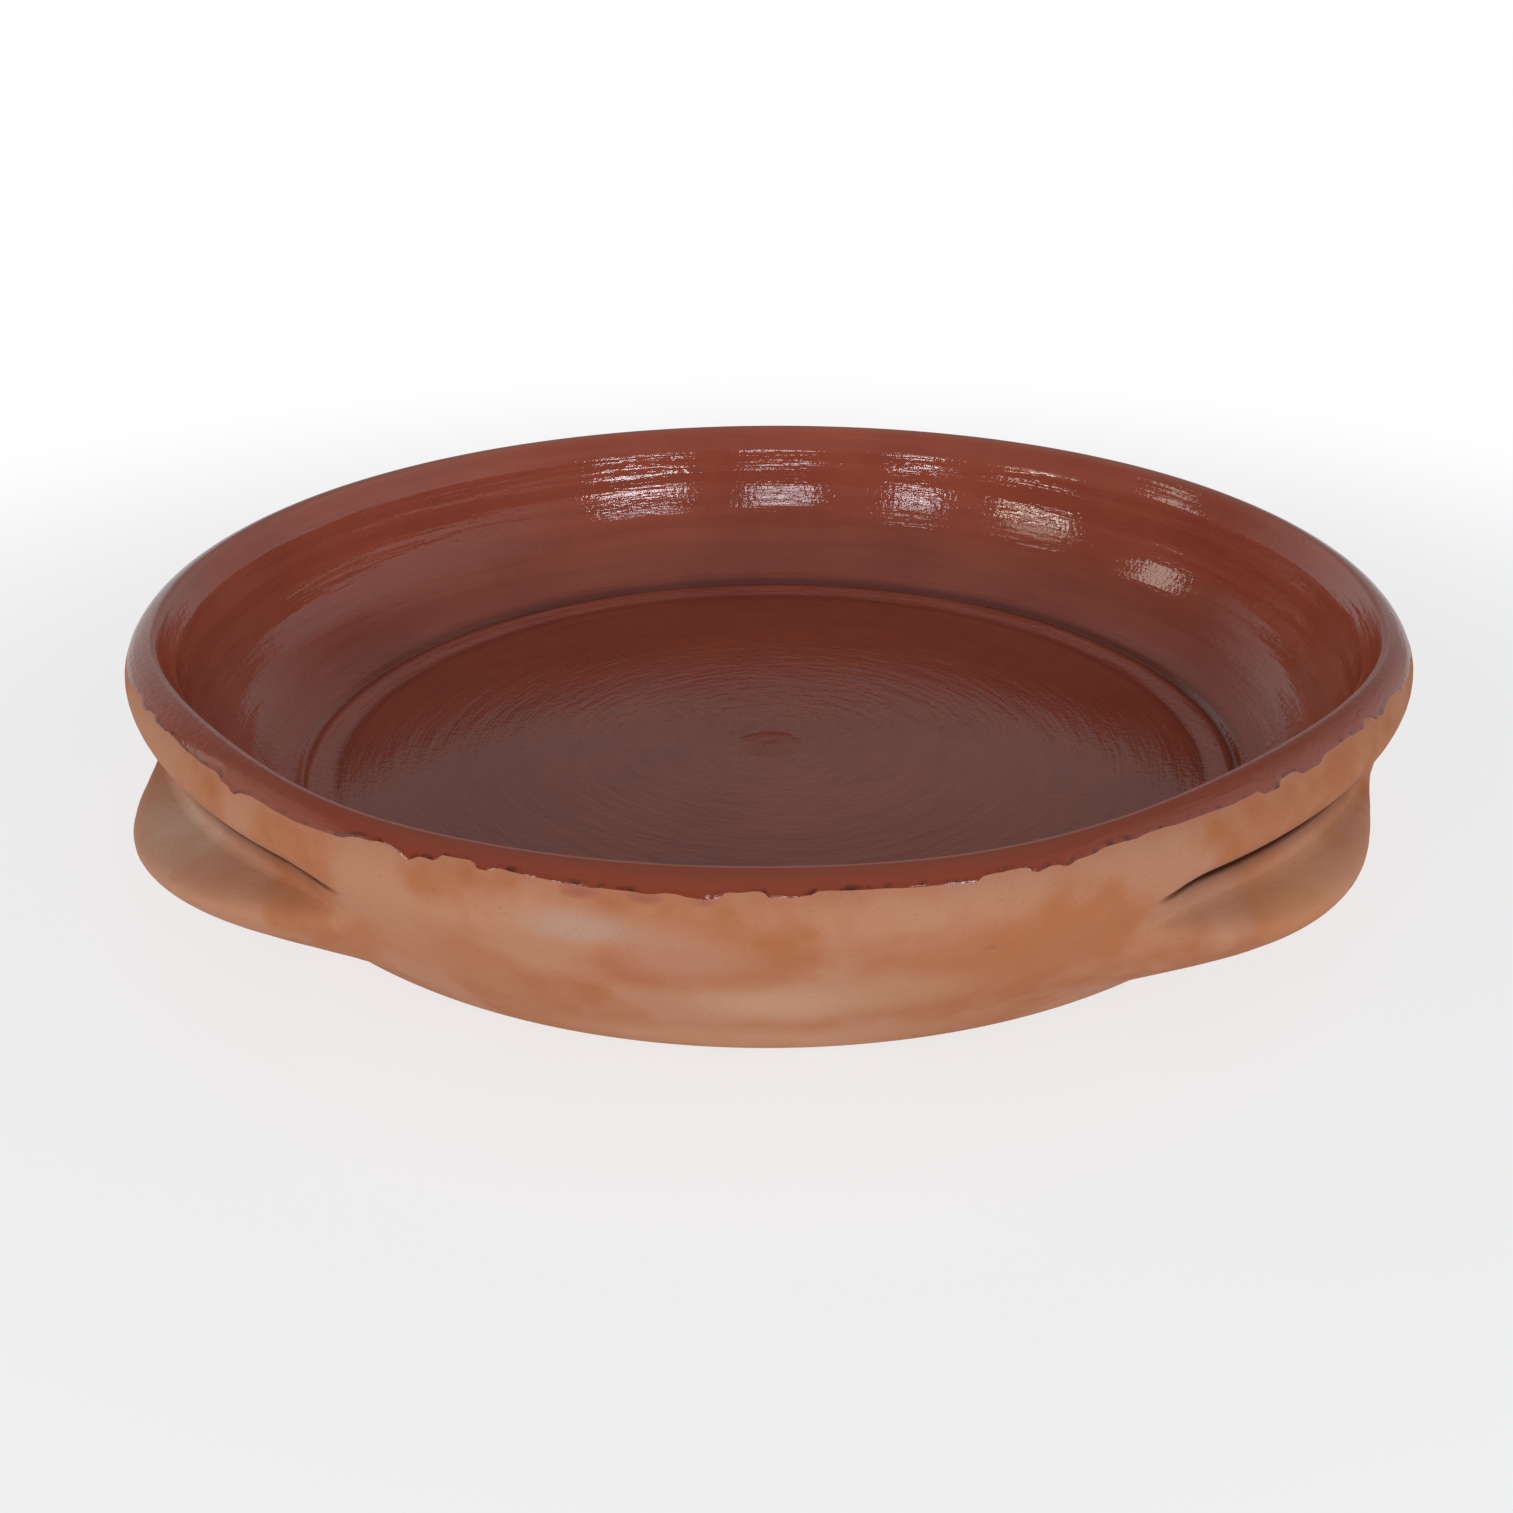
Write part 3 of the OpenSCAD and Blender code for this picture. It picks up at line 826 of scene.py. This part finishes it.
# Soft boxes, like the panes of five windows behind the camera and on its left: degrees left of the camera,
# width, rise and height in degrees, radiance, tint
WINDOWS = (
    (-31, 19, 8, 6, 20.0, "#F4F5FF"),
    (-32, 18, 24.6, 1.4, 20.0, "#F4F5FF"),
    (-32, 18, 28, 4, 5.5, "#F4F5FF"),
    (3, 14, 12, 9, 11.0, "#F4F5FF"),
    (2, 13, 26, 6, 7.0, "#F4F5FF"),
    (35, 10, 8, 5, 19.0, "#F4F5FF"),
    (35, 9, 19, 5, 10.0, "#F4F5FF"),
    (36, 10, 29, 4, 8.0, "#F4F5FF"),
    (64, 17, 8, 4, 16.0, "#FFF4E6"),
    (68, 15, 18.8, 1.2, 14.0, "#FFF4E6"),
    (67, 13, 25, 8, 3.2, "#FFF4E6"),
    (103, 9, 22, 18, 4.2, "#FFF4E6"),
)
WINDOW_DISTANCE = 2.4

# The room: an even radiance, and what pale walls add behind the dish, on the right, overhead and in the
# two far corners. A wall is degrees left of the camera, rise in degrees, the cosine of the angle from its
# middle at which it starts, and its radiance
ROOM = 0.15
PALE_WALLS = (
    (180, 20, 0.70, 0.20),
    (-90, 8, 0.60, 0.70),
    (0, 88, 0.50, 0.22),
    (142, 5, 0.84, 0.50),
    (-142, 5, 0.84, 0.25),
)


def place_lights():
    """The soft boxes, each an area lamp whose power gives its radiance, and the room: white to the camera,
    and for all other rays even, with a smooth step up to the middle of each pale wall."""
    for left, wide, rise, high, radiance, tint in WINDOWS:
        lamp = bpy.data.lights.new("window", "AREA")
        lamp.shape = "RECTANGLE"
        lamp.size = 2 * WINDOW_DISTANCE * math.tan(math.radians(wide / 2))
        lamp.size_y = 2 * WINDOW_DISTANCE * math.tan(math.radians(high / 2))
        lamp.energy = radiance * math.pi * lamp.size * lamp.size_y
        lamp.color = linear(tint)[:3]
        box = bpy.data.objects.new("window", lamp)
        bpy.context.scene.collection.objects.link(box)
        way = seen_from(math.radians(left), math.radians(rise))
        box.location = WINDOW_DISTANCE * way
        box.rotation_euler = (-way).to_track_quat("-Z", "Y").to_euler()
        box.visible_camera = False

    world = bpy.data.worlds.new("room")
    world.use_nodes = True
    tree = world.node_tree
    tree.nodes.clear()
    way = add(tree, "ShaderNodeTexCoord").outputs["Generated"]
    level = ROOM
    for left, rise, start, radiance in PALE_WALLS:
        towards = add(tree, "ShaderNodeVectorMath", {
            0: way, 1: seen_from(math.radians(left), math.radians(rise))}, operation="DOT_PRODUCT")
        wall = add(tree, "ShaderNodeMapRange", {
            0: towards.outputs["Value"], 1: start, 2: 1.0, 3: 0.0, 4: radiance},
            interpolation_type="SMOOTHSTEP")
        level = add(tree, "ShaderNodeMath", {0: wall.outputs[0], 1: level}, operation="ADD").outputs[0]
    room = add(tree, "ShaderNodeBackground", {"Color": linear("#F7F7FA"), "Strength": level})
    white = add(tree, "ShaderNodeBackground", {"Color": linear("#FFFFFF"), "Strength": 1.0})
    seen = add(tree, "ShaderNodeLightPath").outputs["Is Camera Ray"]
    mix = add(tree, "ShaderNodeMixShader", {0: seen, 1: room.outputs[0], 2: white.outputs[0]})
    add(tree, "ShaderNodeOutputWorld", {"Surface": mix.outputs[0]})
    bpy.context.scene.world = world


# The floor: its radius, the distances from the dish's middle between which it fades to white, in metres,
# the share of white where the fade starts, and the share of that white which lights the dish
FLOOR_RADIUS = 5.0
SHADOW_NEAR = 0.24
SHADOW_FAR = 0.55
WHITE_NEAR = 0.72
WHITE_AS_LIGHT = 0.45


def place_floor():
    """A pale matt floor, a flat disc. It fades by a smooth step to plain white away from the dish for what
    the camera sees, and gives back a little of that white as light."""
    count = 96
    turn = 2 * np.pi * np.arange(count) / count
    points = np.column_stack([FLOOR_RADIUS * np.cos(turn), FLOOR_RADIUS * np.sin(turn), 0 * turn])
    mesh = bpy.data.meshes.new("floor")
    mesh.from_pydata(points.tolist(), [], [list(range(count))])
    floor = bpy.data.objects.new("floor", mesh)
    bpy.context.scene.collection.objects.link(floor)
    made, tree, output = new_material("pale floor")
    place = add(tree, "ShaderNodeTexCoord").outputs["Object"]
    away = add(tree, "ShaderNodeVectorMath", {0: place}, operation="LENGTH")
    fade = add(tree, "ShaderNodeMapRange", {
        0: away.outputs["Value"], 1: SHADOW_NEAR, 2: SHADOW_FAR, 3: WHITE_NEAR, 4: 1.0},
        interpolation_type="SMOOTHSTEP")
    seen = add(tree, "ShaderNodeLightPath").outputs["Is Camera Ray"]
    shown = add(tree, "ShaderNodeMapRange", {0: seen, 1: 0.0, 2: 1.0, 3: WHITE_AS_LIGHT, 4: 1.0})
    part = add(tree, "ShaderNodeMath", {0: fade.outputs[0], 1: shown.outputs[0]}, operation="MULTIPLY")
    matt = add(tree, "ShaderNodeBsdfDiffuse", {"Color": linear("#F2F2F2")})
    white = add(tree, "ShaderNodeEmission", {"Color": linear("#FFFFFF"), "Strength": 1.0})
    mix = add(tree, "ShaderNodeMixShader", {0: part.outputs[0], 1: matt.outputs[0], 2: white.outputs[0]})
    tree.links.new(mix.outputs[0], output.inputs["Surface"])
    mesh.materials.append(made)


bpy.context.scene.view_settings.view_transform = "Standard"
place_camera()
place_lights()
place_floor()

dish = build_dish()
dish.data.materials.append(bare_fired_red_clay())
dish.data.materials.append(clear_glaze_on_red_clay())
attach(dish, "root")
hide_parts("dish")
